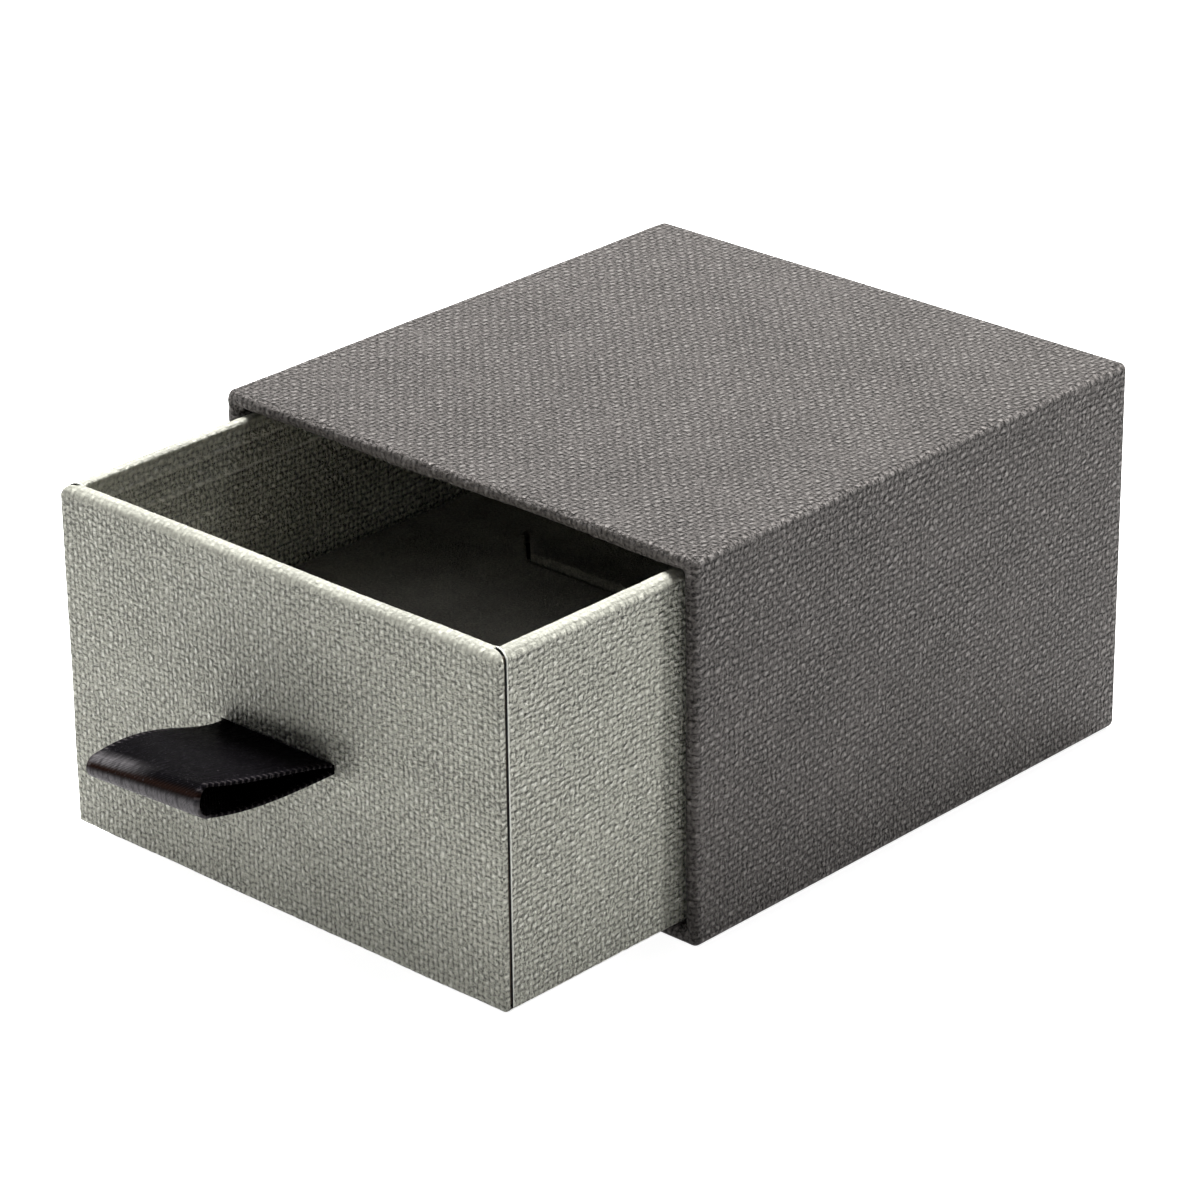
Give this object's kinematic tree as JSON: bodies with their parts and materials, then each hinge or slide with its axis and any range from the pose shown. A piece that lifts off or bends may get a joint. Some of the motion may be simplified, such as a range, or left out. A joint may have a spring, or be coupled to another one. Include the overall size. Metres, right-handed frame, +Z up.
{
  "type": "sliding drawer gift box",
  "caption": "Paper-covered board sleeve with a sliding drawer, ribbon pull and velvet-covered pad for a small gift.",
  "frame": {"origin": "centre of the sleeve's flat underside, on the surface that it stands on", "axes": "+Z up, -Y the way the drawer opens, +X to the right of someone who faces the drawer's front"},
  "size_m": [0.062, 0.1051, 0.0402],
  "materials": {
    "dark_linen": "linen-embossed, matt",
    "silver_linen": "linen-embossed, soft sheen",
    "dark_lining": "plain matt lining paper",
    "greyboard": "raw board",
    "kraft_tape": "gummed kraft",
    "black_satin": "satin ribbon",
    "dark_velvet": "short-pile velvet",
    "foam": "open-cell foam"
  },
  "bodies": {
    "sleeve": {"sleeve_top_board": "greyboard", "sleeve_bottom_board": "greyboard", "sleeve_left_board": "greyboard", "sleeve_right_board": "greyboard", "sleeve_back_board": "greyboard", "sleeve_wrap": "dark_linen", "sleeve_back_sheet": "dark_linen", "sleeve_base_sheet": "dark_linen", "sleeve_liner": "dark_lining", "sleeve_stay_top_left": "kraft_tape", "sleeve_stay_top_right": "kraft_tape", "sleeve_stay_bottom_left": "kraft_tape", "sleeve_stay_bottom_right": "kraft_tape"},
    "drawer": {"drawer_base_board": "greyboard", "drawer_front_board": "greyboard", "drawer_back_board": "greyboard", "drawer_left_board": "greyboard", "drawer_right_board": "greyboard", "drawer_wrap": "silver_linen", "drawer_floor_liner": "dark_lining", "drawer_stay_front_left": "kraft_tape", "drawer_stay_front_right": "kraft_tape", "drawer_stay_rear_left": "kraft_tape", "drawer_stay_rear_right": "kraft_tape", "ribbon_pull": "black_satin", "ribbon_patch": "kraft_tape", "pad_cover": "dark_velvet", "pad_foam": "foam"}
  },
  "joints": [
    {"name": "drawer_slide", "type": "slide", "parent": "sleeve", "child": "drawer", "axis": [0, -1, 0], "range_m": [-0.0235, 0.045]}
  ]
}
